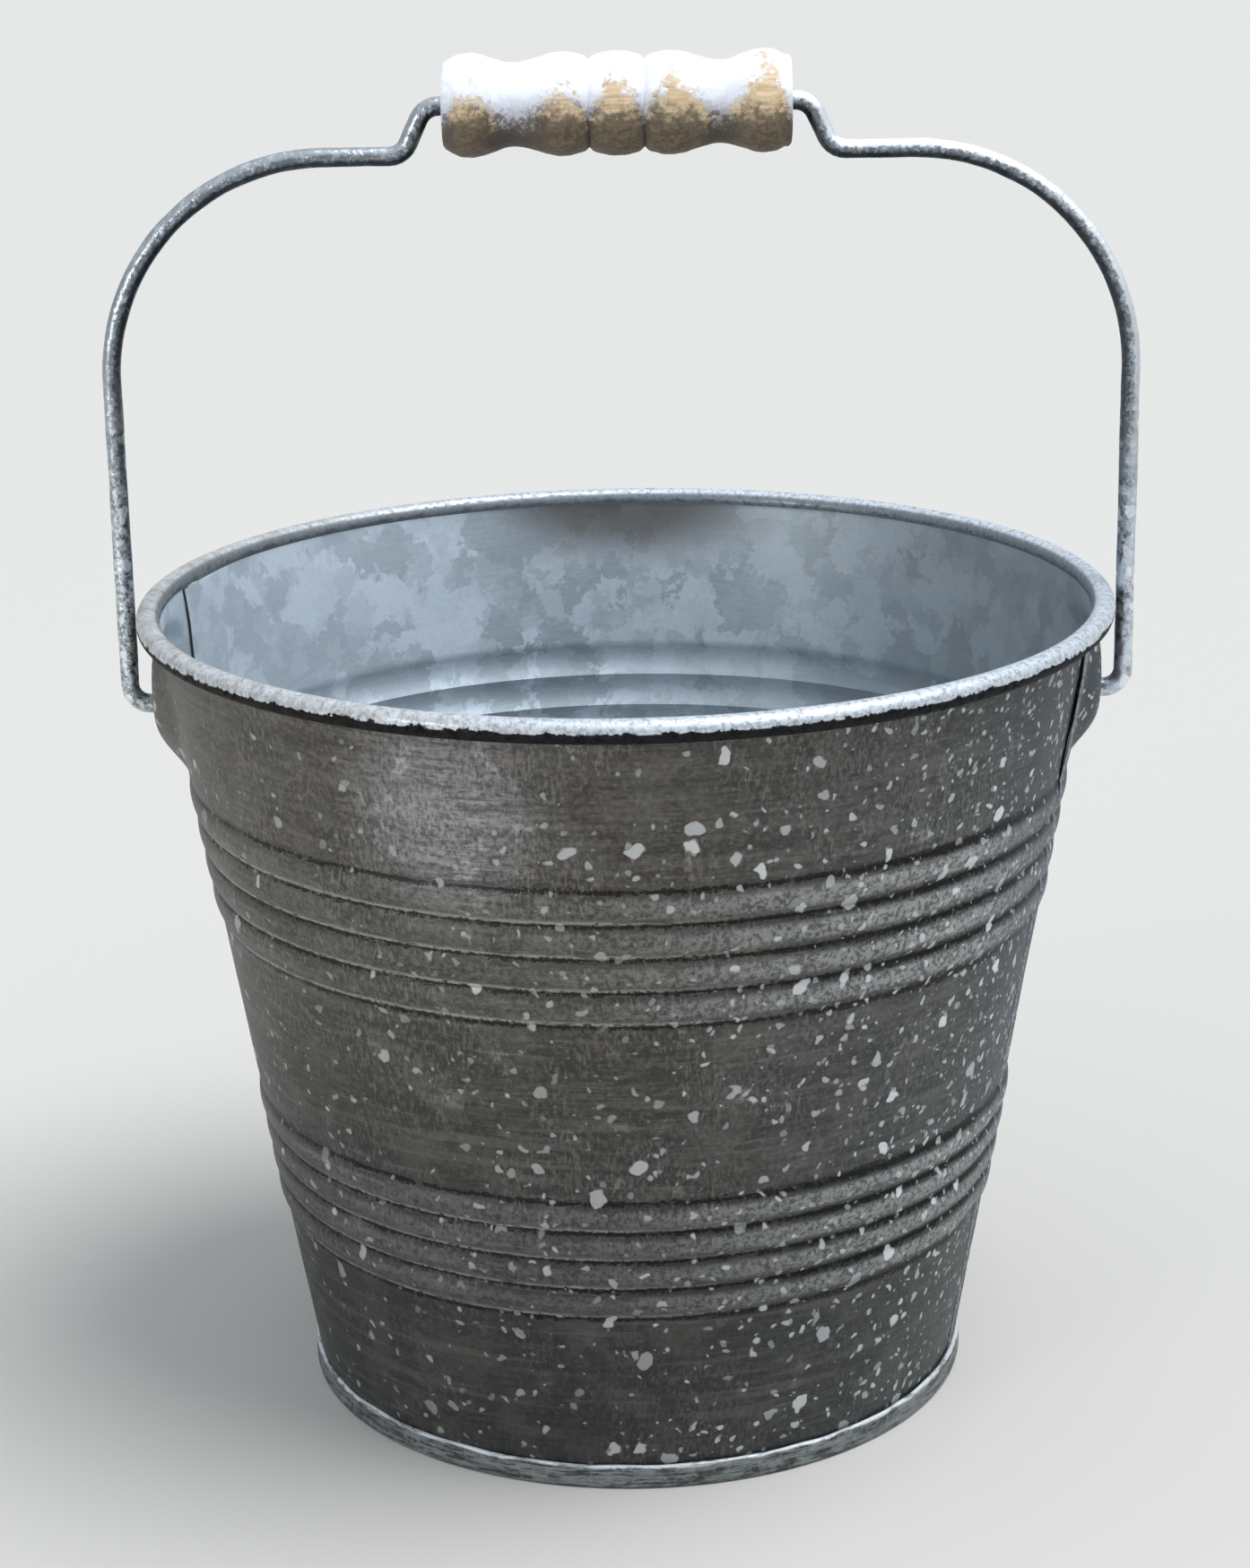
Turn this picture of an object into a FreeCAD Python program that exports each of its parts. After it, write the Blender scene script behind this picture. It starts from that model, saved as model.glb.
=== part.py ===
"""Small galvanised sand bucket: two lapped wall sheets, rim wire, bottom pan, bail and turned grip.

Frame: millimetres, +Z up, origin at the centre of the foot on the surface it stands on.
The bail's pivots lie on the X axis direction and the bail stands upright at rest.
"""
import FreeCAD, Part
import math
import os
import re
import Sketcher

# ---------------------------------------------------------------- driving dimensions (mm, degrees)
SIZES = [
    # rim and foot
    ("rim_rad", 80.0, "outer radius over the rolled rim"),
    ("rim_top", 134.8, "height of the rim's highest point"),
    ("foot_rad", 56.2, "outer radius of the seam at the foot"),
    ("sheet", 0.4, "thickness of the wall sheet"),
    ("rim_wire_rad", 1.25, "radius of the wire inside the rim"),
    ("curl_gap", 0.03, "least gap between the rim wire and the curl"),
    ("wall_tuck", 0.9, "how far below the bead's centre the wall sheet ends"),
    # laps: each wall has one edge outside its neighbour and one edge inside
    ("lap_gap", 0.04, "gap between the two sheets in a lap"),
    ("outer_edge_angle", 16.0, "from an ear to the outside edge beside it"),
    ("inner_edge_angle", 7.0, "from an ear to the inside edge beside it"),
    ("fit_gap", 0.05, "least gap between nested sheets at the foot"),
    # ribs
    ("low_rib_z", 31.9, "lower end of the lower rib group"),
    ("low_rib_pitch", 5.25, "height of one lower rib"),
    ("high_rib_drop", 50.8, "from the rim's top down to the lower end of the upper rib group"),
    ("high_rib_pitch", 5.65, "height of one upper rib"),
    ("rib_height", 0.65, "how far a rib stands out of the wall"),
    # foot seam and bottom pan
    ("pan_sheet", 0.4, "thickness of the bottom pan"),
    ("pan_floor_z", 5.0, "height of the pan's underside"),
    ("hem_fold", 0.17, "how far the folded hem stands out past the wall at the seam's top"),
    ("hem_height", 3.0, "height of the folded hem"),
    ("band_height", 4.2, "height of the seam band"),
    ("band_round", 0.5, "rounding of the seam band"),
    # ears pressed out of the walls
    ("pivot_drop", 18.2, "from the rim's top down to the bail's pivots"),
    ("boss_drop", 14.8, "from the rim's top down to the middle of an ear"),
    ("boss_proud", 3.8, "how far an ear's face stands out at the pivot's height"),
    ("boss_face_rad", 7.0, "radius of an ear's flat face"),
    ("boss_skirt", 9.0, "growth of the ear's radius down to its base"),
    ("boss_depth", 7.0, "depth of the ear from face to base"),
    ("ear_hole_gap", 0.1, "room round the bail in the ear's hole"),
    # bail
    ("bail_wire_rad", 1.6, "radius of the bail's wire"),
    ("bail_rim_gap", 0.7, "gap between the bail's leg and the rim"),
    ("stub_reach", 2.8, "how far the bail's end goes in past the ear's face"),
    ("foot_bend", 3.2, "bend radius where the leg turns into the ear"),
    ("shoulder_rad", 35.6, "bend radius of the bail's shoulders"),
    ("bail_rise", 89.15, "from the pivots up to the bail beside the grip's steps"),
    ("step_rise", 7.75, "rise of the step up to the grip"),
    ("step_angle", 65.0, "slope of the step"),
    ("step_bend", 3.5, "bend radius of the step"),
    # grip
    ("grip_len", 55.0, "length of the grip"),
    ("grip_play", 0.7, "gap between each end of the grip and the bail's step"),
    ("bore_gap", 0.1, "room round the bail in the grip's bore"),
    ("bead_crest", 8.15, "radius at the top of a turned bead"),
    ("cove_floor", 6.55, "radius at the bottom of a cove"),
    ("bead_pitch", 8.75, "distance between the three middle beads"),
    ("bead_round", 10.0, "profile radius of the middle beads"),
    ("cove_place", 16.3, "from the grip's middle to a cove"),
    ("end_bead_place", 23.1, "from the grip's middle to an end bead"),
]

# ---------------------------------------------------------------- sizes worked out from the above
DERIVED = {
    "bead_rad": "(rim_wire_rad + lap_shift + curl_gap + sheet)",
    "bead_ring": "(rim_rad - bead_rad)",
    "bead_z": "(rim_top - bead_rad)",
    "lap_shift": "((sheet + lap_gap) / 2)",
    "lap_middle": "((outer_edge_angle + inner_edge_angle) / 2)",
    "seam_gap": "(lap_shift + fit_gap)",
    "hem_rad": "(foot_rad - pan_sheet - seam_gap)",
    "wall_seam_rad": "(hem_rad - hem_fold)",
    "wall_top_rad": "(rim_rad - 2 * bead_rad + sheet)",
    "wall_top_z": "(bead_z - wall_tuck)",
    "high_rib_z": "(rim_top - high_rib_drop)",
    "pivot_z": "(rim_top - pivot_drop)",
    "boss_z": "(rim_top - boss_drop)",
    "taper": "((wall_top_rad - wall_seam_rad) / (wall_top_z - band_height))",
    "wall_foot_rad": "(wall_seam_rad - taper * (band_height - pan_sheet))",
    "slant": "sqrt(1 + taper * taper)",
    "ear_face": "(wall_foot_rad + taper * (pivot_z - pan_sheet) + boss_proud)",
    "stub_end": "(ear_face - stub_reach)",
    "leg": "(rim_rad + bail_rim_gap + bail_wire_rad)",
    "step_level": "((step_rise - 2 * step_bend * (1 - cos(step_angle))) / sin(step_angle))",
    "step_run": "(2 * step_bend * sin(step_angle) + step_level * cos(step_angle))",
    "grip_end": "(grip_len / 2)",
    "step_top": "(grip_end + grip_play)",
    "bar_z": "(pivot_z + bail_rise)",
    "grip_z": "(bar_z + step_rise)",
    "bore_rad": "(bail_wire_rad + bore_gap)",
}

RIBS_IN_GROUP = 4
FRONT_TURN = 180.0      # the front wall is the back wall turned half round

doc = FreeCAD.newDocument("sand_bucket")
sheet = doc.addObject("Spreadsheet::Sheet", "Dims")
for row, (alias, number, meaning) in enumerate(SIZES, start=1):
    sheet.set(f"A{row}", meaning)
    sheet.set(f"B{row}", str(number))
    sheet.setAlias(f"B{row}", alias)
doc.recompute()

ALIASES = re.compile(r"\b(" + "|".join(alias for alias, _, _ in SIZES) + r")\b")
WORKED_OUT = re.compile(r"\b(" + "|".join(DERIVED) + r")\b")


def formula(text):
    """Spell a formula out in cells of the sheet, so that an object can be bound to it."""
    text = str(text)
    while WORKED_OUT.search(text):
        text = WORKED_OUT.sub(lambda match: DERIVED[match.group(1)], text)
    return ALIASES.sub(r"Dims.\1", text)


def value(text):
    """The number that a formula gives now."""
    result = sheet.evalExpression(formula(text))
    return float(getattr(result, "Value", result))


# ---------------------------------------------------------------- helpers for bodies and sketches
def new_body(name):
    """An empty body whose label names the sub-part and its file."""
    body = doc.addObject("PartDesign::Body", name)
    body.Label = name
    return body


def origin_plane(body, role):
    return next(feature for feature in body.Origin.OriginFeatures if feature.Role == role)


def new_sketch(body, name, role="XZ_Plane"):
    sketch = body.newObject("Sketcher::SketchObject", name)
    sketch.AttachmentSupport = [(origin_plane(body, role), "")]
    sketch.MapMode = "FlatFace"
    return sketch


def bind(sketch, constraint, text):
    """Add a sketch constraint and bind its size to the sheet."""
    number = sketch.addConstraint(constraint)
    sketch.setExpression(f"Constraints[{number}]", formula(text))


def pin_point(sketch, edge, end, corner):
    """Hold one end of an edge at a corner, given as two formulas."""
    x, y = corner
    bind(sketch, Sketcher.Constraint("DistanceX", -1, 1, edge, end, value(x)), x)
    bind(sketch, Sketcher.Constraint("DistanceY", -1, 1, edge, end, value(y)), y)


def arc_between(start, end, radius, turn):
    """The shorter arc from start to end; turn is +1 for anticlockwise and -1 for clockwise."""
    chord = end - start
    middle = (start + end) * 0.5
    to_centre = math.sqrt(radius * radius - (chord.Length / 2) ** 2)
    sideways = FreeCAD.Vector(-chord.y, chord.x, 0) * (turn * to_centre / chord.Length)
    centre = middle + sideways
    first, last = (start, end) if turn > 0 else (end, start)
    angles = [math.atan2(point.y - centre.y, point.x - centre.x) for point in (first, last)]
    circle = Part.Circle(centre, FreeCAD.Vector(0, 0, 1), radius)
    return Part.ArcOfCircle(circle, angles[0], angles[1])


def draw_path(sketch, corners, arcs=None, closed=True):
    """Draw edges from corner to corner, each corner an (x, y) pair of formulas.

    arcs maps an edge's number to its radius formula and its turn; all other edges are straight.
    """
    arcs = arcs or {}
    points = [FreeCAD.Vector(value(x), value(y), 0) for x, y in corners]
    edge_count = len(corners) if closed else len(corners) - 1
    ends = []
    for edge in range(edge_count):
        start, end = points[edge], points[(edge + 1) % len(points)]
        if edge in arcs:
            radius, turn = arcs[edge]
            sketch.addGeometry(arc_between(start, end, value(radius), turn))
            ends.append((1, 2) if turn > 0 else (2, 1))
        else:
            sketch.addGeometry(Part.LineSegment(start, end))
            ends.append((1, 2))
    for edge in range(edge_count):
        following = (edge + 1) % edge_count
        if closed or following:
            joint = Sketcher.Constraint("Coincident", edge, ends[edge][1], following, ends[following][0])
            sketch.addConstraint(joint)
        pin_point(sketch, edge, ends[edge][0], corners[edge])
    if not closed:
        pin_point(sketch, edge_count - 1, ends[-1][1], corners[-1])
    for edge, (radius, _) in arcs.items():
        bind(sketch, Sketcher.Constraint("Radius", edge, value(radius)), radius)


def draw_circle(sketch, centre, radius):
    x, y = centre
    middle = FreeCAD.Vector(value(x), value(y), 0)
    edge = sketch.addGeometry(Part.Circle(middle, FreeCAD.Vector(0, 0, 1), value(radius)))
    pin_point(sketch, edge, 3, centre)
    bind(sketch, Sketcher.Constraint("Radius", edge, value(radius)), radius)


def revolve(body, name, sketch, forwards, backwards, axis="V_Axis"):
    """Turn a sketch about one of its axes, through an angle each way."""
    feature = body.newObject("PartDesign::Revolution", name)
    feature.Profile = (sketch, [])
    feature.ReferenceAxis = (sketch, [axis])
    feature.Type = "TwoAngles"
    feature.setExpression("Angle", formula(forwards))
    feature.setExpression("Angle2", formula(backwards))
    return feature


def revolve_fully(body, name, sketch, axis="V_Axis", kind="PartDesign::Revolution"):
    feature = body.newObject(kind, name)
    feature.Profile = (sketch, [])
    feature.ReferenceAxis = (sketch, [axis])
    feature.Angle = 360
    return feature


def has_cut(feature, before):
    """Stop if a cutting feature took nothing away."""
    doc.recompute()
    if not feature.Shape.Volume < before - 1e-3:
        raise RuntimeError(f"{feature.Name} cuts nothing")


# ---------------------------------------------------------------- the wall's section
def wall_rad(height, inset="0"):
    """Radius of the wall's outer face at a height, less inset measured square through the sheet."""
    return f"wall_foot_rad + taper * ({height} - pan_sheet) - {inset} * slant"


def wall_line(inset):
    """The wall's line from foot to top with its two groups of ribs, and the ribs' arcs."""
    corners = []
    arcs = {}
    for start, pitch in (("low_rib_z", "low_rib_pitch"), ("high_rib_z", "high_rib_pitch")):
        chord = f"({pitch} * slant)"
        radius = f"({chord} * {chord} / 4 + rib_height * rib_height) / (2 * rib_height)"
        for rib in range(RIBS_IN_GROUP + 1):
            if rib < RIBS_IN_GROUP:
                arcs[len(corners)] = (radius, 1)
            height = f"({start} + {rib} * {pitch})"
            corners.append((wall_rad(height, inset), height))
    return corners, arcs


def draw_wall_solid(sketch, bottom, top, inset):
    """The area between the bucket's axis and the wall's line."""
    ribs, rib_arcs = wall_line(inset)
    low_corner = (wall_rad(bottom, inset), bottom)
    high_corner = (wall_rad(top, inset), top)
    corners = [("0", bottom), low_corner] + ribs + [high_corner, ("0", top)]
    arcs = {edge + 2: arc for edge, arc in rib_arcs.items()}
    draw_path(sketch, corners, arcs)


# ---------------------------------------------------------------- sub-parts
def add_boss_cone(body, kind, name, inset):
    """An ear's cone, lying along X with its flat face outwards."""
    cone = body.newObject(kind, name)
    cone.AttachmentSupport = [(origin_plane(body, "YZ_Plane"), "")]
    cone.MapMode = "FlatFace"
    cone.setExpression("Radius1", formula("boss_face_rad + boss_skirt"))
    cone.setExpression("Radius2", formula("boss_face_rad"))
    cone.setExpression("Height", formula("boss_depth"))
    cone.setExpression("AttachmentOffset.Base.x", formula("lap_shift * sin(lap_middle)"))
    cone.setExpression("AttachmentOffset.Base.y", formula("boss_z"))
    reach = f"ear_face - boss_depth - {inset} - lap_shift * cos(lap_middle)"
    cone.setExpression("AttachmentOffset.Base.z", formula(reach))
    return cone


def make_wall(name, turn):
    """One wall sheet: more than half a cone, with ribs, pressed ear, rim curl and foot hem.

    It is drawn about its own axis with its ear on +X. Its edge before the ear laps outside the
    other wall and its far edge laps inside, because the axis is shifted by half a sheet.
    """
    body = new_body(name)
    section = new_sketch(body, f"{name}_outer_line")
    draw_wall_solid(section, "pan_sheet", "wall_top_z", "0")
    revolve(body, f"{name}_cone", section, "180 - inner_edge_angle", "outer_edge_angle")
    add_boss_cone(body, "PartDesign::AdditiveCone", f"{name}_ear", "0")
    doc.recompute()

    solid_volume = body.Tip.Shape.Volume
    inside = new_sketch(body, f"{name}_inner_line")
    draw_wall_solid(inside, "0", "rim_top + boss_depth", "sheet")
    groove = revolve_fully(body, f"{name}_hollow", inside, kind="PartDesign::Groove")
    has_cut(groove, solid_volume)

    shell_volume = groove.Shape.Volume
    hollow = add_boss_cone(body, "PartDesign::SubtractiveCone", f"{name}_ear_hollow", "sheet")
    has_cut(hollow, shell_volume)

    curl = new_sketch(body, f"{name}_curl_line")
    draw_circle(curl, ("bead_ring", "bead_z"), "bead_rad")
    draw_circle(curl, ("bead_ring", "bead_z"), "bead_rad - sheet")
    revolve(body, f"{name}_curl", curl, "180 - outer_edge_angle", "outer_edge_angle")

    hem = new_sketch(body, f"{name}_hem_line")
    hem_top = "(pan_sheet + hem_height)"
    draw_path(hem, [(wall_rad("pan_sheet", "sheet / 2"), "pan_sheet"), ("hem_rad", "pan_sheet"),
                    ("hem_rad", hem_top), (wall_rad(hem_top, "sheet / 2"), hem_top)])
    revolve(body, f"{name}_hem", hem, "180 - outer_edge_angle", "outer_edge_angle")
    doc.recompute()

    closed_volume = body.Tip.Shape.Volume
    hole = body.newObject("PartDesign::SubtractiveCylinder", f"{name}_bail_hole")
    hole.AttachmentSupport = [(origin_plane(body, "YZ_Plane"), "")]
    hole.MapMode = "FlatFace"
    hole.setExpression("Radius", formula("bail_wire_rad + ear_hole_gap"))
    hole.setExpression("Height", formula("boss_depth"))
    hole.setExpression("AttachmentOffset.Base.x", formula("lap_shift * sin(lap_middle)"))
    hole.setExpression("AttachmentOffset.Base.y", formula("pivot_z"))
    hole.setExpression("AttachmentOffset.Base.z", formula("ear_face - boss_depth / 2"))
    has_cut(hole, closed_volume)

    away = -1 if turn else 1
    body.Placement.Rotation = FreeCAD.Rotation(FreeCAD.Vector(0, 0, 1), turn)
    body.setExpression("Placement.Base.x", formula(f"{away} * lap_shift * cos(lap_middle)"))
    body.setExpression("Placement.Base.y", formula(f"{-away} * lap_shift * sin(lap_middle)"))


def make_rim_wire():
    """The steel ring that the walls' top edges are rolled round."""
    ring = doc.addObject("Part::Torus", "rim_wire")
    ring.Label = "rim_wire"
    ring.setExpression("Radius1", formula("bead_ring"))
    ring.setExpression("Radius2", formula("rim_wire_rad"))
    ring.setExpression("Placement.Base.z", formula("bead_z"))


def make_bottom_pan():
    """The raised bottom, whose edge goes down inside the walls and up round their hem."""
    body = new_body("bottom_pan")
    section = new_sketch(body, "pan_line")
    floor_top = "(pan_floor_z + pan_sheet)"
    beside_wall = "(sheet + seam_gap)"
    under_wall = "(sheet + seam_gap + pan_sheet)"
    lip = wall_rad("band_height") + " + seam_gap"
    corners = [
        ("0", "pan_floor_z"),
        (wall_rad("pan_floor_z", under_wall), "pan_floor_z"),
        (wall_rad("0", under_wall), "0"),
        ("foot_rad - band_round", "0"),
        ("foot_rad", "band_round"),
        ("foot_rad", "band_height - band_round"),
        ("foot_rad - band_round", "band_height"),
        (lip, "band_height"),
        (lip, "band_height - pan_sheet"),
        ("foot_rad - pan_sheet", "band_height - pan_sheet"),
        ("foot_rad - pan_sheet", "pan_sheet"),
        (wall_rad("pan_sheet", beside_wall), "pan_sheet"),
        (wall_rad(floor_top, beside_wall), floor_top),
        ("0", floor_top),
    ]
    draw_path(section, corners, {3: ("band_round", 1), 5: ("band_round", 1)})
    revolve_fully(body, "pan_turn", section)


def make_bail():
    """The handle wire: half of it is swept along its path and mirrored."""
    body = new_body("bail")
    path = new_sketch(body, "bail_path")
    step_foot = "(step_top + step_run)"
    bend_in = "step_bend * sin(step_angle)"
    bend_up = "step_bend * (1 - cos(step_angle))"
    corners = [
        ("stub_end", "pivot_z"),
        ("leg - foot_bend", "pivot_z"),
        ("leg", "pivot_z + foot_bend"),
        ("leg", "bar_z - shoulder_rad"),
        ("leg - shoulder_rad", "bar_z"),
        (step_foot, "bar_z"),
        (f"{step_foot} - {bend_in}", f"bar_z + {bend_up}"),
        (f"step_top + {bend_in}", f"grip_z - {bend_up}"),
        ("step_top", "grip_z"),
        ("0", "grip_z"),
    ]
    arcs = {1: ("foot_bend", 1), 3: ("shoulder_rad", 1), 5: ("step_bend", -1), 7: ("step_bend", 1)}
    draw_path(path, corners, arcs, closed=False)

    end = new_sketch(body, "bail_end", "YZ_Plane")
    end.setExpression("AttachmentOffset.Base.z", formula("stub_end"))
    draw_circle(end, ("0", "pivot_z"), "bail_wire_rad")
    half = body.newObject("PartDesign::AdditivePipe", "bail_half")
    half.Profile = (end, [])
    half.Spine = (path, [])
    doc.recompute()

    whole = body.newObject("PartDesign::Mirrored", "bail_whole")
    whole.Originals = [half]
    whole.MirrorPlane = (origin_plane(body, "YZ_Plane"), [""])
    body.Tip = whole


def make_grip():
    """The turned wooden grip: three middle beads, a cove each side and a bead at each end."""
    body = new_body("grip")
    section = new_sketch(body, "grip_line")
    rise = "(bead_crest - cove_floor)"
    turn_in = f"(2 * atan({rise} / (cove_place - bead_pitch)))"
    turn_out = f"(2 * atan({rise} / (end_bead_place - cove_place)))"
    cove_round = f"((cove_place - bead_pitch) / sin({turn_in}) - bead_round)"
    end_round = f"((end_bead_place - cove_place) / sin({turn_out}) - {cove_round})"
    beyond = "(grip_end - end_bead_place)"
    groove_drop = "(bead_round - sqrt(bead_round * bead_round - bead_pitch * bead_pitch / 4))"
    end_drop = f"({end_round} - sqrt({end_round} * {end_round} - {beyond} * {beyond}))"
    leave_bead = (f"bead_pitch + bead_round * sin({turn_in})",
                  f"bead_crest - bead_round * (1 - cos({turn_in}))")
    leave_cove = (f"cove_place + {cove_round} * sin({turn_out})",
                  f"cove_floor + {cove_round} * (1 - cos({turn_out}))")
    half = [("bead_pitch / 2", f"bead_crest - {groove_drop}"), leave_bead, leave_cove,
            ("grip_end", f"bead_crest - {end_drop}"), ("grip_end", "bore_rad")]
    corners = [(f"grip_end - ({x})", radius) for x, radius in reversed(half)]
    corners += [(f"grip_end + ({x})", radius) for x, radius in half]
    rounds = [(end_round, -1), (cove_round, 1), ("bead_round", -1), ("bead_round", -1),
              ("bead_round", -1), (cove_round, 1), (end_round, -1)]
    draw_path(section, corners, dict(enumerate(rounds, start=1)))
    revolve_fully(body, "grip_turn", section, axis="H_Axis")
    body.setExpression("Placement.Base.x", formula("-grip_end"))
    body.setExpression("Placement.Base.z", formula("grip_z"))


make_wall("back_wall", 0.0)
make_wall("front_wall", FRONT_TURN)
make_rim_wire()
make_bottom_pan()
make_bail()
make_grip()
doc.recompute()

# ---------------------------------------------------------------- checks and export
for item in doc.Objects:
    if "Invalid" in item.State or "Error" in item.State:
        raise RuntimeError(f"{item.Name} failed: {item.State}")

NODES = ["front_wall", "back_wall", "rim_wire", "bottom_pan", "bail", "grip"]
os.makedirs("parts", exist_ok=True)
for node in NODES:
    shape = doc.getObject(node).Shape
    if shape.isNull() or not shape.isValid() or len(shape.Solids) != 1:
        raise RuntimeError(f"{node} is not one valid solid")
    print(f"{node}: volume {shape.Volume:.1f} mm3, box {shape.BoundBox}")
for node in NODES:
    doc.getObject(node).Shape.exportStep(f"parts/{node}.step")
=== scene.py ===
# %% [markdown]
# # A small galvanised sand bucket
#
# The bucket is two bent sheets of zinc-coated steel, lapped at the ears and rolled round a
# wire at the rim, with a pressed bottom, a bent wire bail and a turned wooden grip.
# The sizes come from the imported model, which is loaded first and stays as it is.
# Every shape below is worked out in millimetres and put into its mesh in metres.

# %% Load the frame
import math

import bpy
import numpy as np
from mathutils import Matrix, Vector


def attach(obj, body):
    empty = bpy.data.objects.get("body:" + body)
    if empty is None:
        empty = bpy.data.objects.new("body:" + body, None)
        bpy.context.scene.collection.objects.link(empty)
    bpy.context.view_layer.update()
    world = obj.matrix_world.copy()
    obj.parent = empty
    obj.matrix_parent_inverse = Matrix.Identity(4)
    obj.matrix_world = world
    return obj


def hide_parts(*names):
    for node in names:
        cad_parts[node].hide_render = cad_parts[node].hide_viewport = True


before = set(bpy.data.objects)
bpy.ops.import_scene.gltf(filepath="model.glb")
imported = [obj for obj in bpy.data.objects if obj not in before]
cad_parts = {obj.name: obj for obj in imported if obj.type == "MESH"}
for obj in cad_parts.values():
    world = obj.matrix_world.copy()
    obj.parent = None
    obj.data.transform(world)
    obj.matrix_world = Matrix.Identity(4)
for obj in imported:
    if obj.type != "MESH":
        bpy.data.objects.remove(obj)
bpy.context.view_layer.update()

MM = 0.001

# %% [markdown]
# ## Small tools
#
# A piece is made from whole arrays of points. These helpers ease one value into another,
# make a gentle seeded unevenness, and turn a grid of points into faces.


# %% Curves and unevenness
def ease(x, start, end):
    """0 before start, 1 after end, and t * t * (3 - 2 * t) between, where t is the share gone."""
    t = np.clip((x - start) / (end - start), 0.0, 1.0)
    return t * t * (3.0 - 2.0 * t)


def waves(points, length, seed, count=14):
    """A field from about -1 to 1: the sum of sines of a given length along random directions."""
    rng = np.random.default_rng(seed)
    direction = rng.normal(size=(count, 3))
    direction /= np.linalg.norm(direction, axis=1, keepdims=True)
    rate = 2 * np.pi / (length * rng.uniform(0.7, 1.5, (count, 1)))
    phase = rng.uniform(0, 2 * np.pi, count)
    return np.sin(points @ (direction * rate).T + phase).sum(-1) / math.sqrt(count)


# %% From grids to meshes
def grid_quads(rows, columns, wrap):
    """Corner numbers of a grid's cells, anticlockwise as seen from the side the cells face."""
    index = np.arange(rows * columns).reshape(rows, columns)
    if wrap:
        index = np.concatenate([index, index[:, :1]], axis=1)
    return np.stack([index[:-1, :-1], index[:-1, 1:], index[1:, 1:], index[1:, :-1]], axis=-1)


def sheet_faces(keep):
    """Both faces of every kept cell of a sheet, and a strip along each edge left free.

    The far side's points follow the near side's, so a point's twin is one sheet of points on.
    A cell's side is free where its neighbour isn't kept.
    """
    rows, columns = keep.shape[0] + 1, keep.shape[1] + 1
    quads = grid_quads(rows, columns, wrap=False)
    twin = rows * columns
    padded = np.pad(keep, 1)
    neighbours = [padded[:-2, 1:-1], padded[1:-1, 2:], padded[2:, 1:-1], padded[1:-1, :-2]]
    near = quads[keep]
    far = near[:, ::-1] + twin
    strips = []
    for side, neighbour in enumerate(neighbours):
        free = keep & ~neighbour
        start, end = quads[free][:, side], quads[free][:, (side + 1) % 4]
        strips.append(np.stack([end, start, start + twin, end + twin], axis=-1))
    return near, far, np.concatenate(strips)


def add_piece(name, points, faces, slots=None, fields=None, sharp=35.0):
    """A mesh object at the origin, from points in mm, lists of faces and their material numbers."""
    used, renumbered = np.unique(np.concatenate([part.ravel() for part in faces]),
                                 return_inverse=True)
    sizes = [part.shape for part in faces]
    cuts = np.cumsum([rows * corners for rows, corners in sizes])[:-1]
    parts = [flat.reshape(shape) for flat, shape in zip(np.split(renumbered, cuts), sizes)]
    mesh = bpy.data.meshes.new(name)
    mesh.from_pydata((points[used] * MM).tolist(), [],
                     [face for part in parts for face in part.tolist()])
    if slots is not None:
        mesh.polygons.foreach_set("material_index", np.concatenate(
            [np.full(len(part), slot) for part, slot in zip(parts, slots)]).astype(np.int32))
    for field, values in (fields or {}).items():
        store = mesh.attributes.new(field, "FLOAT", "POINT")
        store.data.foreach_set("value", values.ravel()[used].astype(np.float32))
    mesh.shade_smooth()
    mesh.set_sharp_from_angle(angle=math.radians(sharp))
    mesh.update()
    piece = bpy.data.objects.new(name, mesh)
    bpy.context.scene.collection.objects.link(piece)
    print(name, len(mesh.vertices), "points", len(mesh.polygons), "faces")
    return piece


# %% [markdown]
# ## The walls
#
# Each wall is one sheet bent a little past half way round. From the foot it has a folded hem,
# a plain cone, two groups of four rolled ribs, and a curl that goes over the rim wire.
# The ear for the bail is pressed out of the same sheet, so the finish runs over it unbroken.
# In a factory the flat blank would be rolled through grooved rollers and then pressed.
# Here one line, from hem to curl, is carried round the axis, and the press, the lifted edge
# and the unevenness are added to the whole grid at once, the way the sheet itself is worked.

# %% Sizes of the walls
SHEET = 0.4                                  # thickness of the sheet
RIM_RAD, RIM_TOP = 80.0, 134.8               # outside of the rolled rim
BEAD_RAD = 1.9                               # outside radius of the roll
BEAD_RING, BEAD_Z = RIM_RAD - BEAD_RAD, RIM_TOP - BEAD_RAD
WALL_FOOT, WALL_TOP, WALL_TOP_Z = 54.728, 76.60, 132.0
TAPER = (WALL_TOP - WALL_FOOT) / (WALL_TOP_Z - SHEET)
RIB_GROUPS = ((31.9, 5.25), (84.0, 5.65))    # lower end of a group, height of one rib
RIBS = 4
RIB_HEIGHT = 0.65
EAR_Z, PIVOT_Z, EAR_FACE = 120.0, 116.6, 77.84
EAR_FLAT, EAR_BASE = 6.6, 16.0               # radius of the flat face and of the whole press
HOLE_RAD = 1.7
OUTER_EDGE, INNER_EDGE = -16.0, 169.5        # degrees from the sheet's own ear
CURL_END = 164.0
LAP_SHIFT, LAP_MIDDLE = 0.22, math.radians(11.5)
HEM_OUT, HEM_TOP = 0.5, 3.1


# %% One line from hem to curl
def rib_bulge(height):
    """How far the ribs stand out at a height: RIB_HEIGHT * (1 - (2t - 1)^2) over each rib."""
    bulge = np.zeros_like(height)
    for start, pitch in RIB_GROUPS:
        share = (height - start) / pitch
        on_rib = (share > 0) & (share < RIBS)
        bulge += np.where(on_rib, RIB_HEIGHT * (1 - (2 * (share % 1) - 1) ** 2), 0.0)
    return bulge


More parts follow.
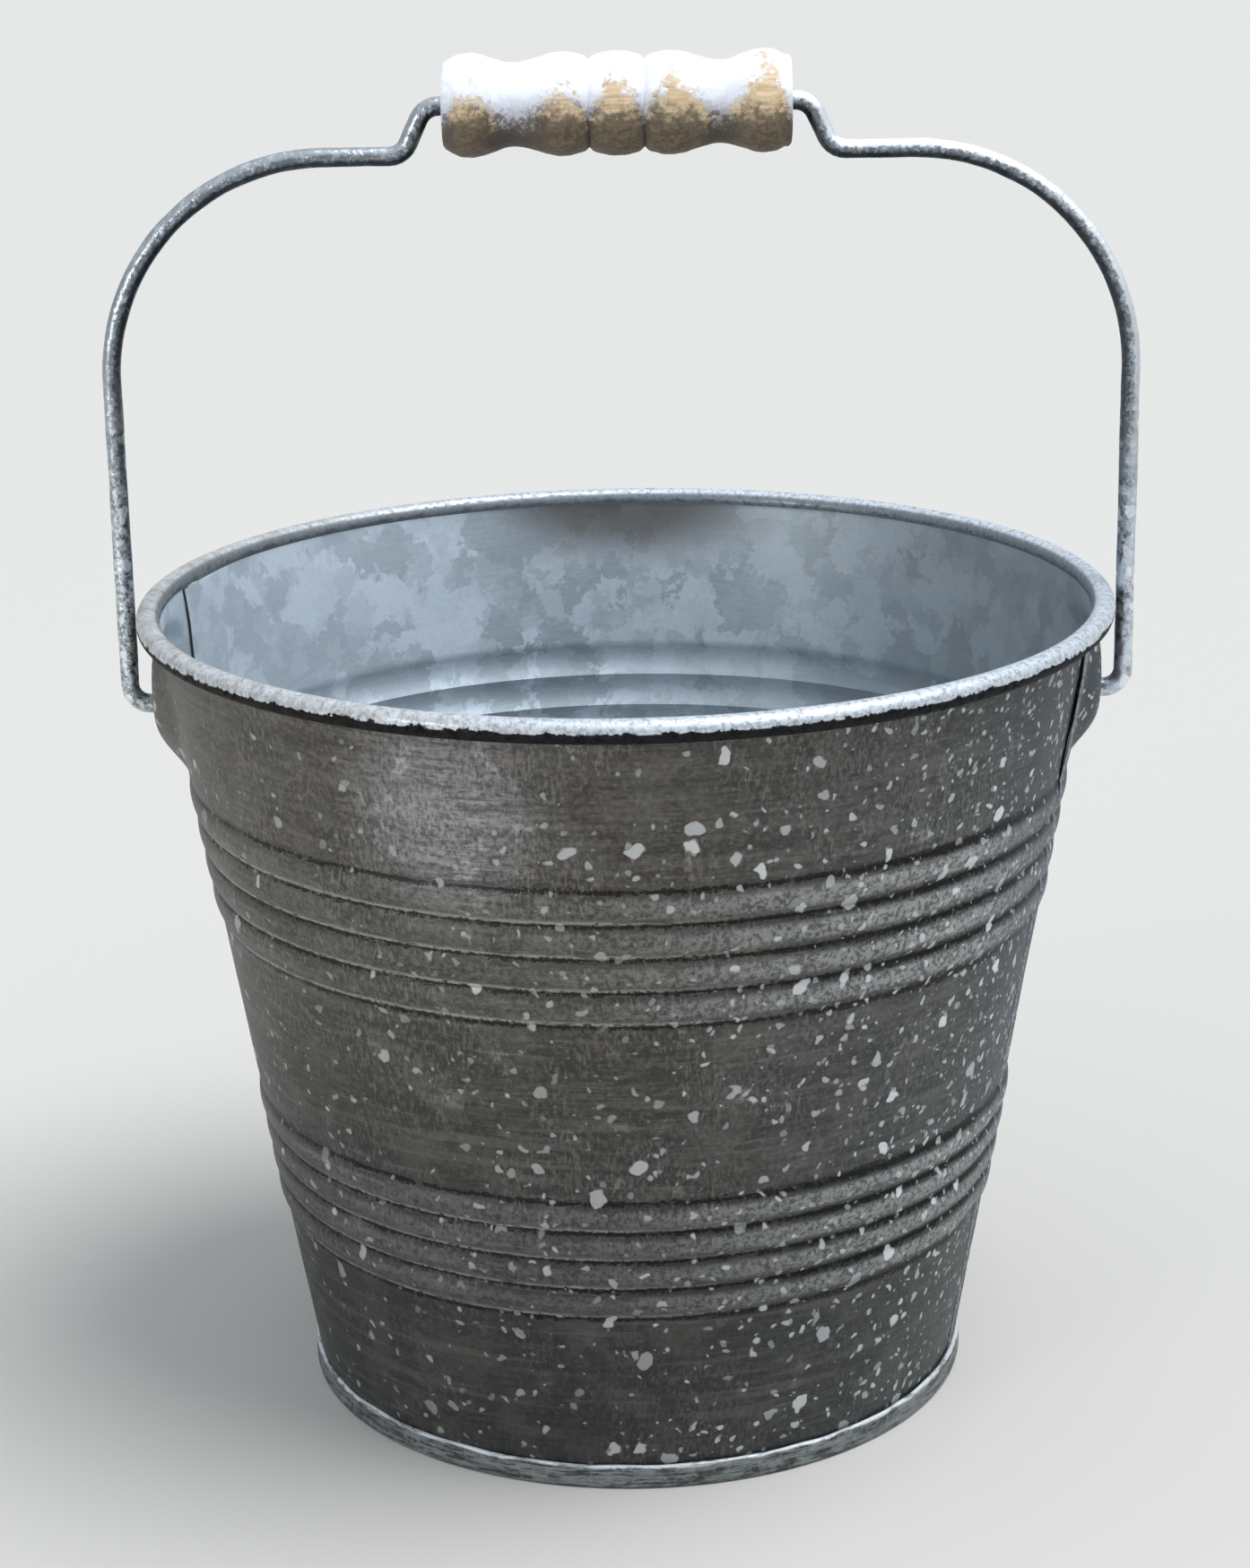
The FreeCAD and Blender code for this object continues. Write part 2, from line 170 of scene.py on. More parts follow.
def groove_line(height, width=0.85):
    """1 in the grooves between and beside the ribs, falling off as a bell of the given width."""
    near = np.zeros_like(height)
    for start, pitch in RIB_GROUPS:
        for rib in range(RIBS + 1):
            near = np.maximum(near, np.exp(-((height - start - rib * pitch) / width) ** 2))
    return near


def lower_flank(height, above=0.6, width=0.33):
    """1 just above the lower end of each rib, where the sheet turns down and catches low light."""
    near = np.zeros_like(height)
    for start, pitch in RIB_GROUPS:
        for rib in range(RIBS):
            near = np.maximum(near, np.exp(-((height - start - rib * pitch - above) / width) ** 2))
    return near


def wall_heights():
    """Heights of the grid's rows: ten to a rib, close at the ear, wider on the plain cone."""
    stops = [(0.9, 31.9, 20), (31.9, 52.9, 40), (52.9, 84.0, 20), (84.0, 106.6, 40),
             (106.6, 113.6, 10), (113.6, 119.6, 15), (119.6, 131.6, 15)]
    pieces = [np.linspace(low, high, steps, endpoint=False) for low, high, steps in stops]
    return np.concatenate(pieces + [[131.6, 132.3]])


def wall_profile():
    """The sheet's middle line as radius and height, and each row's part: 0 hem, 1 wall, 2 curl."""
    height = wall_heights()
    radius = WALL_FOOT + TAPER * (height - SHEET) - SHEET / 2 + rib_bulge(height)
    hem_z = np.linspace(HEM_TOP, 1.1, 5)
    hem_r = WALL_FOOT + TAPER * (hem_z - SHEET) - SHEET / 2 + HEM_OUT
    fold = np.radians([-30.0, -90.0, -150.0])
    fold_r = WALL_FOOT + HEM_OUT / 2 - SHEET / 2 + HEM_OUT / 2 * np.cos(fold) + 0.1
    fold_z = 0.95 + HEM_OUT / 2 * np.sin(fold)
    turn = np.radians(np.linspace(178.0, -138.0, 34))
    curl = BEAD_RAD - SHEET / 2
    curl_r, curl_z = BEAD_RING + curl * np.cos(turn), BEAD_Z + curl * np.sin(turn)
    line_r = np.concatenate([hem_r, fold_r, radius, curl_r])
    line_z = np.concatenate([hem_z, fold_z, height, curl_z])
    first_wall = len(hem_r) + len(fold_r)
    part = np.zeros(len(line_r), int)
    part[first_wall:] = 1
    part[first_wall + len(height):] = 2
    return line_r, line_z, part


line_r, line_z, line_part = wall_profile()
print("rows", len(line_r), "highest", round(float(line_z.max() + SHEET / 2), 3))


# %% Press, lap and lift
def wall_angles():
    """Degrees of the grid's columns from the ear: close together at the ear, wider elsewhere."""
    stops = [(OUTER_EDGE, -3.0, 20), (-3.0, 3.0, 18), (3.0, 16.0, 16), (16.0, 150.0, 112),
             (150.0, CURL_END, 14), (CURL_END, INNER_EDGE, 12)]
    pieces = [np.linspace(low, high, steps, endpoint=False) for low, high, steps in stops]
    return np.concatenate(pieces + [[INNER_EDGE]])


def ear_press(y, z):
    """1 on an ear's flat face, easing to 0 at its base; the press is squeezed under the rim."""
    rise = z - EAR_Z
    squeeze = np.where(rise > 0, 1.0 + 0.45 * ease(rise, 4.0, 10.0), 1.0)
    return 1.0 - ease(np.hypot(y, rise * squeeze), EAR_FLAT, EAR_BASE)


def wall_points(side, lift):
    """One face of a wall: side is +1 outside and -1 inside, half a sheet from the middle line."""
    step_r, step_z = np.gradient(line_r), np.gradient(line_z)
    length = np.hypot(step_r, step_z)
    radius = line_r + side * SHEET / 2 * step_z / length
    height = line_z - side * SHEET / 2 * step_r / length
    degrees = wall_angles()[None, :]
    height, radius = height[:, None], radius[:, None]
    on_curl = (line_part == 2)[:, None]
    on_wall = (line_part == 1)[:, None]

    # the cut edges wander a little, with one small step each
    start_near = np.exp(-(degrees - OUTER_EDGE) / 1.2)
    end_near = np.exp(-(INNER_EDGE - degrees) / 1.2)
    wander = 0.10 * np.sin(height / 9.0) + 0.28 * ease(height, 114.6, 115.4)
    angle = np.radians(degrees + np.where(on_wall, wander * start_near
                                          - (wander + 0.15 * np.sin(height / 5.0)) * end_near, 0.0))

    # the outside edge stands off its neighbour beside the ear
    standing = lift * ease(height, 102.0, 112.0) * (1 - ease(height, 127.5, 131.0))
    radius = radius + standing * (1 - ease(degrees, OUTER_EDGE, OUTER_EDGE + 8.0))
    # under the rim the two sheets share one roll, and the tucked edge stays inside it
    to_roll = ease(height, 124.0, 131.0)
    tuck = 2 * LAP_SHIFT * to_roll * ease(degrees, 152.0, 162.0)
    radius = radius - np.where(on_curl, 0.0, tuck)

    x, y = radius * np.cos(angle), radius * np.sin(angle)
    z = height + 0.0 * degrees
    shift = LAP_SHIFT * (1 - to_roll)
    x, y = x + shift * math.cos(LAP_MIDDLE), y - shift * math.sin(LAP_MIDDLE)

    # the ear: the sheet moves out along X to a flat face
    press = np.where(on_wall, ear_press(y, z), 0.0)
    face = EAR_FACE - (1 - side) / 2 * SHEET
    follow = 1.0 - 0.15 * ease(degrees, 164.0, INNER_EDGE)
    x_out = x + press * (face - x)
    x_far = x + press * follow * (-(face - 2 * LAP_SHIFT) - x)
    x = np.where(x > 0, x_out, np.where(degrees > 150.0, x_far, x))
    points = np.stack([x, y, z], axis=-1)

    # rolled sheet is never quite round
    uneven = 0.16 * waves(points * [1, 1, 0.6], 70.0, seed=5) + 0.05 * waves(points, 22.0, seed=6)
    uneven = uneven * ease(z, 6.0, 26.0)
    outwards = points * [1, 1, 0] / np.hypot(x, y)[..., None]
    points = points + outwards * uneven[..., None] * np.where(on_curl, 0.6, 1.0)[..., None]
    past_rim = np.maximum(np.hypot(points[..., 0], points[..., 1]) - (RIM_RAD - 0.07), 0.0)
    return points - outwards * past_rim[..., None]


def bail_hole(outside, inside):
    """Leave out the cells at the pivot, and set the points round them on the hole's circle."""
    place = outside - [0.0, 0.0, PIVOT_Z]
    distance = np.where((outside[..., 0] > 0) & (line_part == 1)[:, None],
                        np.hypot(place[..., 1], place[..., 2]), 99.0)
    close = distance < HOLE_RAD + 0.22
    gone = close[:-1, :-1] & close[:-1, 1:] & close[1:, 1:] & close[1:, :-1]
    around = np.pad(gone, 1)
    corner_gone = around[:-1, :-1] | around[:-1, 1:] | around[1:, 1:] | around[1:, :-1]
    corner_kept = ~(around[:-1, :-1] & around[:-1, 1:] & around[1:, 1:] & around[1:, :-1])
    edge = corner_gone & corner_kept
    for face in (outside, inside):
        spot = face[edge] - [0.0, 0.0, PIVOT_Z]
        reach = HOLE_RAD / np.hypot(spot[:, 1], spot[:, 2])
        face[edge] = np.stack([spot[:, 0], spot[:, 1] * reach, spot[:, 2] * reach + PIVOT_Z],
                              axis=-1)
    return ~gone


# %% Make the two walls
def make_wall(node, turn, lift):
    """The sheet's two faces and its edges; the front wall is the same sheet turned half round."""
    outside, inside = wall_points(1, lift), wall_points(-1, lift)
    keep = bail_hole(outside, inside)
    past_curl = wall_angles()[:-1] >= CURL_END
    on_curl = line_part[:-1] == 2
    joins_curl = line_part[1:] == 2
    keep &= ~((on_curl | joins_curl)[:, None] & past_curl[None, :])
    near, far, strips = sheet_faces(keep)
    columns = outside.shape[1]
    far_row = (far.min(axis=1) - outside.shape[0] * columns) // columns
    on_roll = np.isin(far_row, np.flatnonzero(joins_curl))
    points = np.concatenate([outside.reshape(-1, 3), inside.reshape(-1, 3)])
    if turn:
        points = points * [-1, -1, 1]
    bulge = np.where(line_part == 1, rib_bulge(line_z), 0.0) / RIB_HEIGHT
    groove = np.where(line_part == 1, groove_line(line_z), 0.0)
    flank = np.where(line_part == 1, lower_flank(line_z), 0.0)
    fields = {name: np.tile(values[:, None], (2, columns))
              for name, values in (("crest", bulge), ("groove", groove), ("flank", flank))}
    faces = [near, far[~on_roll], far[on_roll], strips]
    return add_piece(node + "_sheet", points, faces, slots=[0, 1, 2, 3], fields=fields)


walls = {"back_wall": make_wall("back_wall", turn=False, lift=0.62),
         "front_wall": make_wall("front_wall", turn=True, lift=0.4)}

# %% [markdown]
# ## The bottom pan
#
# The bottom is a shallow pan pressed from one disc. Its floor stands a few millimetres up, its
# side goes down inside the walls, and its edge turns up round their hem and is closed on it,
# which gives the bright narrow band at the foot. It is a closed line turned round the axis.

# %% The pan's line
FOOT_RAD, LIP_RAD, BAND_TOP, FLOOR_Z = 56.2, 55.63, 4.2, 5.0
PAN_GAP = 0.27                               # between the walls and the pan's side
SLANT = 1.014                                # a slanting sheet's width over its thickness
MIDDLE_RAD = 0.6                             # where the floor's line stops and its fan starts


def rounded_line(corners, radii, steps=5):
    """A line through corners, each rounded by a curve from a radius before it to one after."""
    corners = np.asarray(corners, float)
    line = [corners[:1]]
    for before, corner, after, radius in zip(corners[:-2], corners[1:-1], corners[2:], radii):
        back, on = before - corner, after - corner
        start = corner + back / np.linalg.norm(back) * radius
        end = corner + on / np.linalg.norm(on) * radius
        t = np.linspace(0, 1, steps)[:, None]
        line.append((1 - t) ** 2 * start + 2 * t * (1 - t) * corner + t ** 2 * end)
    return np.concatenate(line + [corners[-1:]])


def pan_sides():
    """The two faces of the pan's sheet, each from the lip to the middle of the floor."""
    inner_foot = WALL_FOOT - SHEET * SLANT - PAN_GAP - SHEET / 2
    inner_top = inner_foot + TAPER * (FLOOR_Z + SHEET / 2)
    half = SHEET / 2
    corners = [(LIP_RAD, BAND_TOP - half), (FOOT_RAD - half, BAND_TOP - half),
               (FOOT_RAD - half, half), (inner_foot, half), (inner_top, FLOOR_Z + half),
               (MIDDLE_RAD, FLOOR_Z + half)]
    line = rounded_line(corners, [0.30, 0.55, 0.6, 1.3])
    floor_r = np.linspace(line[-2, 0], MIDDLE_RAD, 16)[1:-1]
    floor = np.stack([floor_r, np.full_like(floor_r, FLOOR_Z + half)], axis=-1)
    line = np.concatenate([line[:-1], floor, line[-1:]])
    step = np.gradient(line, axis=0)
    step /= np.linalg.norm(step, axis=1, keepdims=True)
    across = np.stack([-step[:, 1], step[:, 0]], axis=-1) * half
    return line - across, line + across


# %% Turn the pan
def turned(line, columns):
    """Points of a line of (radius, height) turned round the Z axis."""
    angle = np.linspace(0, 2 * np.pi, columns, endpoint=False)[None, :]
    radius, height = line[:, :1], line[:, 1:]
    return np.stack([radius * np.cos(angle), radius * np.sin(angle), height + 0 * angle], axis=-1)


def closed_ends(rows, columns):
    """Fans from one point before the grid and one after it to the grid's first and last rows."""
    total = rows * columns
    first, last = np.arange(columns), np.arange(total - columns, total)
    ahead = np.roll(first, -1), np.roll(last, -1)
    start = np.stack([ahead[0], first, np.full(columns, total)], axis=-1)
    end = np.stack([last, ahead[1], np.full(columns, total + 1)], axis=-1)
    return start, end


def make_pan():
    """Under face, round the lip, then upper face, as one skin closed by a fan at each middle."""
    first, second = pan_sides()
    loop = np.concatenate([second[::-1], first])
    grid = turned(loop, 300)
    around = waves(grid * [1, 1, 0.0], 9.0, seed=11)
    long_around = waves(grid * [1, 1, 0.0], 40.0, seed=12)
    band = ease(grid[..., 2], 1.0, 3.6) * ease(np.hypot(grid[..., 0], grid[..., 1]), 55.0, 55.6)
    grid[..., 2] += band * (0.05 * around + 0.06 * long_around - 0.1)
    grid[..., :2] *= (1 - band * 0.0006 * (1 + around))[..., None]
    floor = 1 - ease(np.hypot(grid[..., 0], grid[..., 1]), 20.0, 50.0)
    grid[..., 2] += floor * 0.08 * waves(grid, 45.0, seed=13)
    rows, columns = grid.shape[:2]
    ends = np.array([[0, 0, grid[0, :, 2].mean()], [0, 0, grid[-1, :, 2].mean()]])
    points = np.concatenate([grid.reshape(-1, 3), ends])
    quads = grid_quads(rows, columns, wrap=True).reshape(-1, 4)
    start, end = closed_ends(rows, columns)
    return add_piece("pressed_bottom", points, [quads, start, end])


pan = make_pan()

# %% [markdown]
# ## The bail
#
# The bail is one wire bent in a jig: a short foot that goes into each ear, an upright leg,
# a round shoulder, a flat run, and a step up to the grip. Hot-dipped wire is never quite even:
# zinc runs down it and sets in thin lumps. A circle is carried along a line of straight runs
# and arcs, and its radius swells and shrinks a little on the way.

# %% The bail's line
WIRE_RAD = 1.6
STUB_X, LEG_X = 75.04, 82.3
FOOT_BEND, SHOULDER, STEP_BEND = 3.2, 35.6, 3.5
BAR_Z, GRIP_Z = 205.75, 213.5
STEP_ANGLE = 65.0
STEP_TOP_X = 28.2


def bail_line(step=0.7):
    """Half of the bail as evenly spaced (x, z) points, from the end of the foot to the middle."""
    points, heading = [np.array([[STUB_X, PIVOT_Z]])], 0.0

    def run(length):
        count = max(2, int(length / step))
        along = np.linspace(0, length, count + 1)[1:, None]
        way = np.array([math.cos(math.radians(heading)), math.sin(math.radians(heading))])
        points.append(points[-1][-1] + along * way)

    def bend(radius, turn):
        nonlocal heading
        count = max(4, int(abs(math.radians(turn)) * radius / step))
        swept = np.radians(np.linspace(0, turn, count + 1)[1:])
        side = math.copysign(1.0, turn)
        away = np.radians(heading - 90.0 * side) + swept
        first = math.radians(heading - 90.0 * side)
        arc = np.stack([np.cos(away) - math.cos(first), np.sin(away) - math.sin(first)], axis=-1)
        points.append(points[-1][-1] + arc * radius)
        heading += turn

    step_cos, step_sin = math.cos(math.radians(STEP_ANGLE)), math.sin(math.radians(STEP_ANGLE))
    rise = STEP_BEND * (1 - step_cos)
    slope = (GRIP_Z - BAR_Z - 2 * rise) / step_sin
    reach = 2 * STEP_BEND * step_sin + slope * step_cos
    run(LEG_X - FOOT_BEND - STUB_X)
    bend(FOOT_BEND, 90.0)
    run(BAR_Z - SHOULDER - PIVOT_Z - FOOT_BEND)
    bend(SHOULDER, 90.0)
    run(LEG_X - SHOULDER - STEP_TOP_X - reach)
    bend(STEP_BEND, -STEP_ANGLE)
    run(slope)
    bend(STEP_BEND, STEP_ANGLE)
    run(STEP_TOP_X)
    return np.concatenate(points)


half_line = bail_line()
print("bail's middle", half_line[-1].round(3), "length", round(float(
    2 * np.linalg.norm(np.diff(half_line, axis=0), axis=1).sum()), 1), "mm")


# %% Carry the wire along it
def make_bail(around=20):
    """Uneven rings of about WIRE_RAD, square to the line, with a rounded tip at each end."""
    line = np.concatenate([half_line, half_line[-2::-1] * [-1, 1]])
    way = np.gradient(line, axis=0)
    way /= np.linalg.norm(way, axis=1, keepdims=True)
    cap = np.radians(np.array([8.0, 30.0, 55.0, 75.0]))
    back = 0.5 * (1 - np.sin(cap))[:, None]
    starts, ends = line[0] + way[0] * back * 0.9, line[-1] - way[-1] * back[::-1] * 0.9
    size = np.concatenate([0.72 + 0.28 * np.sin(cap), np.ones(len(line) - 2),
                           (0.72 + 0.28 * np.sin(cap))[::-1]])
    line = np.concatenate([starts, line[1:-1], ends])
    way = np.concatenate([np.repeat(way[:1], 4, axis=0), way[1:-1], np.repeat(way[-1:], 4, axis=0)])
    angle = np.linspace(0, 2 * np.pi, around, endpoint=False)[None, :]
    middle = np.stack([line[:, 0], np.zeros(len(line)), line[:, 1]], axis=-1)[:, None, :]
    side = np.stack([way[:, 1], np.zeros(len(line)), -way[:, 0]], axis=-1)[:, None, :]
    ring = side * np.cos(angle)[..., None] + np.array([0.0, 1.0, 0.0]) * np.sin(angle)[..., None]
    rough = middle + ring * WIRE_RAD
    away = ease(np.abs(middle[..., 2] - PIVOT_Z) + np.abs(np.abs(middle[..., 0]) - 77.0), 2.0, 9.0)
    lumps = 0.030 * waves(rough, 5.0, seed=21) + 0.022 * waves(rough, 14.0, seed=22)
    radius = WIRE_RAD * size[:, None] - 0.02 + away * np.minimum(lumps, 0.05) - away * 0.05
    points = middle + ring * radius[..., None]
    rows = points.shape[0]
    outer = np.append(np.repeat(np.cos(angle), rows, axis=0).ravel(), [0.0, 0.0])
    tips = np.stack([middle[0, 0], middle[-1, 0]])
    quads = grid_quads(rows, around, wrap=True).reshape(-1, 4)
    start, end = closed_ends(rows, around)
    return add_piece("bent_bail", np.concatenate([points.reshape(-1, 3), tips]),
                     [quads, start, end], fields={"outer": outer}, sharp=50)


bail = make_bail()

# %% [markdown]
# ## The grip
#
# The grip is turned from a light wood: three round beads in the middle with narrow grooves
# between them, a cove on each side, and a bead at each end. It is bored through, so that it
# spins on the bail. A turner cuts this line with a gouge; here it is a list of arcs as heights.

# %% The grip's line
GRIP_HALF, CREST, COVE = 27.5, 8.15, 6.55
BORE = 1.7
BEAD_PITCH, COVE_X, END_BEAD_X = 8.75, 16.3, 23.1
GROOVE_DEPTH, GROOVE_WIDTH = 0.30, 0.35


def grip_radius(x):
    """The turned line: the middle beads are arcs, and eased curves join bead, cove and end bead."""
    place = np.abs(x)
    from_bead = (place + BEAD_PITCH / 2) % BEAD_PITCH - BEAD_PITCH / 2
    beads = CREST - (10.0 - np.sqrt(100.0 - from_bead ** 2))
    down = CREST - (CREST - COVE) * ease(place, BEAD_PITCH, COVE_X)
    up = COVE + (CREST - COVE) * ease(place, COVE_X, END_BEAD_X)
    over = CREST - 1.75 * np.clip((place - END_BEAD_X) / (GRIP_HALF - END_BEAD_X), 0, 1) ** 2.3
    line = np.where(place < BEAD_PITCH, beads, np.where(place < COVE_X, down, up))
    return np.where(place > END_BEAD_X, over, line)


def make_grip(around=96):
    """The line turned round the X axis, down each end face and back through the bore."""
    x = np.concatenate([np.linspace(-GRIP_HALF, -END_BEAD_X, 12, endpoint=False),
                        np.linspace(-END_BEAD_X, -BEAD_PITCH * 1.5, 26, endpoint=False),
                        np.linspace(-BEAD_PITCH * 1.5, BEAD_PITCH * 1.5, 97),
                        np.linspace(BEAD_PITCH * 1.5, END_BEAD_X, 27)[1:],
                        np.linspace(END_BEAD_X, GRIP_HALF, 13)[1:]])
    radius = grip_radius(x)
    # a narrow groove is cut between the middle beads
    for groove in (BEAD_PITCH / 2, -BEAD_PITCH / 2):
        radius = radius - GROOVE_DEPTH * np.exp(-((x - groove) / GROOVE_WIDTH) ** 2)
    crest = (radius - COVE) / (CREST - COVE)
    radius[-3:] = [radius[-4] - 0.02, radius[-4] - 0.10, radius[-4] - 0.55]
    radius[:2] = [radius[2] - 0.75, radius[2] - 0.2]
    ends = np.array([0.985, 0.93, 0.6, 0.32])
    face_r = radius[-1] * ends
    face_x = GRIP_HALF - np.array([0.02, 0.0, 0.05, 0.12])
    left_r, left_x = radius[0] * ends, -GRIP_HALF + np.array([0.02, 0.0, 0.05, 0.12])
    bore_x = np.linspace(GRIP_HALF - 0.5, -GRIP_HALF + 0.5, 12)
    all_x = np.concatenate([x, face_x, bore_x, left_x[::-1]])
    all_r = np.concatenate([radius, face_r, np.full(12, BORE), left_r[::-1]])
    wear = np.concatenate([crest, np.full(20, 0.0)])
    angle = np.linspace(0, 2 * np.pi, around, endpoint=False)[None, :]
    flat = np.stack([all_x[:, None] + 0 * angle, np.cos(angle) * all_r[:, None],
                     np.sin(angle) * all_r[:, None]], axis=-1)
    worn = 0.05 * waves(flat, 9.0, seed=31) + 0.03 * waves(flat * [3, 1, 1], 5.0, seed=32) - 0.06
    on_turned = np.concatenate([np.ones(len(x)), np.zeros(20)])[:, None]
    grow = 1 + on_turned * worn / np.maximum(all_r[:, None], BORE)
    flat[..., 1:] *= grow[..., None]
    flat[..., 2] += GRIP_Z
    rows = flat.shape[0]
    quads = grid_quads(rows, around, wrap=True).reshape(-1, 4)
    index = np.arange(rows * around).reshape(rows, around)
    join = np.stack([index[-1], np.roll(index[-1], -1), np.roll(index[0], -1), index[0]], axis=-1)
    field = np.repeat(wear[:, None], around, axis=1)
    return add_piece("turned_grip", flat.reshape(-1, 3), [quads, join], fields={"crest": field},
                     sharp=50)


grip = make_grip()

# %% [markdown]
# ## Finishes
#
# The metal is galvanised and then darkened, so the outside is a matt brown-grey with brush
# strokes, pale zinc spots and rubbed edges, and the inside keeps its blue-grey spangle.
# Effects that several finishes share are node groups with their own inputs: strokes, spots
# and clouds. Each finish then has its own Principled shader.


# %% Tools for nodes
def put(source, socket):
    """Link a socket to an input, or set the input to a number, a colour or a vector."""
    if isinstance(source, bpy.types.NodeSocket):
        source.id_data.links.new(source, socket)
    else:
        socket.default_value = source


def add_node(tree, kind, inputs=None, **settings):
    """A node with its settings, and with each input set to a number or linked to a socket."""
    node = tree.nodes.new(kind)
    for setting, choice in settings.items():
        setattr(node, setting, choice)
    for key, source in (inputs or {}).items():
        put(source, node.inputs[key])
    return node


def tree_of(sources):
    """The node tree that holds the first socket among some sockets and numbers."""
    return next(source.id_data for source in sources if isinstance(source, bpy.types.NodeSocket))


def maths(operation, *sources, clamp=False):
    """The output of a Math node."""
    return add_node(tree_of(sources), "ShaderNodeMath", dict(enumerate(sources)),
                    operation=operation, use_clamp=clamp).outputs[0]


def times(first, second):
    return maths("MULTIPLY", first, second)


def plus(first, second):
    return maths("ADD", first, second)


def minus(first, second):
    return maths("SUBTRACT", first, second)


def larger(first, second):
    return maths("MAXIMUM", first, second)


def swing(source, amount):
    """A value's distance from one half, times an amount."""
    return times(minus(source, 0.5), amount)


def vector_maths(operation, inputs, output=0):
    """An output of a Vector Math node whose first input is a socket."""
    return add_node(inputs[0].id_data, "ShaderNodeVectorMath", inputs,
                    operation=operation).outputs[output]


def stretched(vector, x, y, z):
    """A vector with each of its parts multiplied."""
    return vector_maths("MULTIPLY", {0: vector, 1: (x, y, z)})


def distance(vector, x, y, z):
    """How far a place is from a point."""
    return vector_maths("DISTANCE", {0: vector, 1: (x, y, z)}, "Value")


def eased(source, start, end, low=0.0, high=1.0):
    """A value carried smoothly from low at start to high at end."""
    node = add_node(source.id_data, "ShaderNodeMapRange",
                    {"Value": source, "From Min": start, "From Max": end,
                     "To Min": low, "To Max": high},
                    interpolation_type="SMOOTHSTEP")
    return node.outputs["Result"]


def colour(code):
    """A screen colour, as #rrggbb, in the linear numbers that a shader takes."""
    parts = [int(code[place:place + 2], 16) / 255 for place in (1, 3, 5)]
    return (*[part / 12.92 if part <= 0.04045 else ((part + 0.055) / 1.055) ** 2.4
              for part in parts], 1.0)


def blended(share, first, second, mode="MIX"):
    """Two colours, each a socket or a #rrggbb code, mixed by a share."""
    first, second = [colour(one) if isinstance(one, str) else one for one in (first, second)]
    return add_node(tree_of((share, first, second)), "ShaderNodeMix",
                    {0: share, 6: first, 7: second},
                    data_type="RGBA", blend_type=mode).outputs[2]


def noise(vector, scale, detail=3.0, roughness=0.55, distortion=0.0, output="Fac"):
    """An output of a Noise texture."""
    return add_node(vector.id_data, "ShaderNodeTexNoise",
                    {"Vector": vector, "Scale": scale, "Detail": detail, "Roughness": roughness,
                     "Distortion": distortion}).outputs[output]


def shaken(place, scale, detail, roughness, amount):
    """A place moved by up to an amount along each axis, by a coloured noise."""
    shake = noise(place, scale, detail, roughness, output="Color")
    return vector_maths("MULTIPLY_ADD", {0: shake, 1: (amount, amount, amount), 2: place})


def new_group(name, inputs, outputs):
    """An empty node group with numbered sockets: inputs as name to default, outputs as names."""
    group = bpy.data.node_groups.new(name, "ShaderNodeTree")
    group.interface.new_socket("Place", in_out="INPUT", socket_type="NodeSocketVector")
    for label, default in inputs.items():
        socket = group.interface.new_socket(label, in_out="INPUT", socket_type="NodeSocketFloat")
        socket.default_value = default
    for label in outputs:
        group.interface.new_socket(label, in_out="OUTPUT", socket_type="NodeSocketFloat")
    return group, group.nodes.new("NodeGroupInput"), group.nodes.new("NodeGroupOutput")


# %% Shared effects: brush strokes
def build_strokes():
    """Fine marks along the sheet, short ones up it, and grit: noise squashed or left even."""
    group, given, result = new_group("brush_strokes", {"Fine": 1.0},
                                     ["Sweep", "Along", "Up", "Grit"])
    place = vector_maths("SCALE", {0: given.outputs["Place"], 3: given.outputs["Fine"]})
    effects = {"Sweep": noise(stretched(place, 0.03, 0.03, 0.62), 1.0, 4.0, 0.6, 0.6),
               "Along": noise(stretched(place, 0.16, 0.16, 1.7), 1.0, 5.0, 0.72, 0.5),
               "Up": noise(stretched(place, 1.9, 1.9, 0.62), 1.0, 3.0, 0.6, 0.3),
               "Grit": noise(place, 1.1, 4.0, 0.75)}
    for label, value in effects.items():
        put(value, result.inputs[label])
    return group


# %% Shared effects: zinc spots
def build_spots():
    """Flakes: the inside of a ragged solid in some of the cells of a Voronoi pattern.

    Sheet and solid meet at a random depth, so the flakes differ in size; some are fainter.
    """
    group, given, result = new_group("zinc_spots", {"Cell": 6.0, "Size": 0.3, "Cover": 0.5},
                                     ["Mask"])
    place, cell, size, cover = given.outputs[:4]
    moved = shaken(place, 0.42, 1.0, 0.5, 2.6)
    cells = add_node(group, "ShaderNodeTexVoronoi",
                     {"Vector": moved, "Scale": maths("DIVIDE", 1.0, cell),
                                                     "Randomness": 1.0}, feature="F1")
    parts = add_node(group, "ShaderNodeSeparateColor", {"Color": cells.outputs["Color"]}).outputs
    inside = minus(times(size, plus(0.45, parts["Green"])), cells.outputs["Distance"])
    mask = maths("MULTIPLY", inside, times(cell, 4.5), clamp=True)
    chosen = maths("LESS_THAN", parts["Red"], cover)
    strength = plus(0.35, times(parts["Blue"], 0.65))
    put(times(times(mask, chosen), strength), result.inputs["Mask"])
    return group


# %% Shared effects: clouds
def build_clouds():
    """Uneven patches: noise pushed apart about its middle, into quiet and marked areas."""
    group, given, result = new_group("clouds", {"Size": 20.0, "Middle": 0.5, "Edge": 0.1},
                                     ["Mask"])
    place, size, middle, edge = given.outputs[:4]
    value = noise(place, maths("DIVIDE", 1.0, size), 5.0, 0.6, 0.4)
    put(eased(value, minus(middle, edge), plus(middle, edge)), result.inputs["Mask"])
    return group


STROKES, SPOTS, CLOUDS = build_strokes(), build_spots(), build_clouds()
print("node groups", [group.name for group in bpy.data.node_groups])


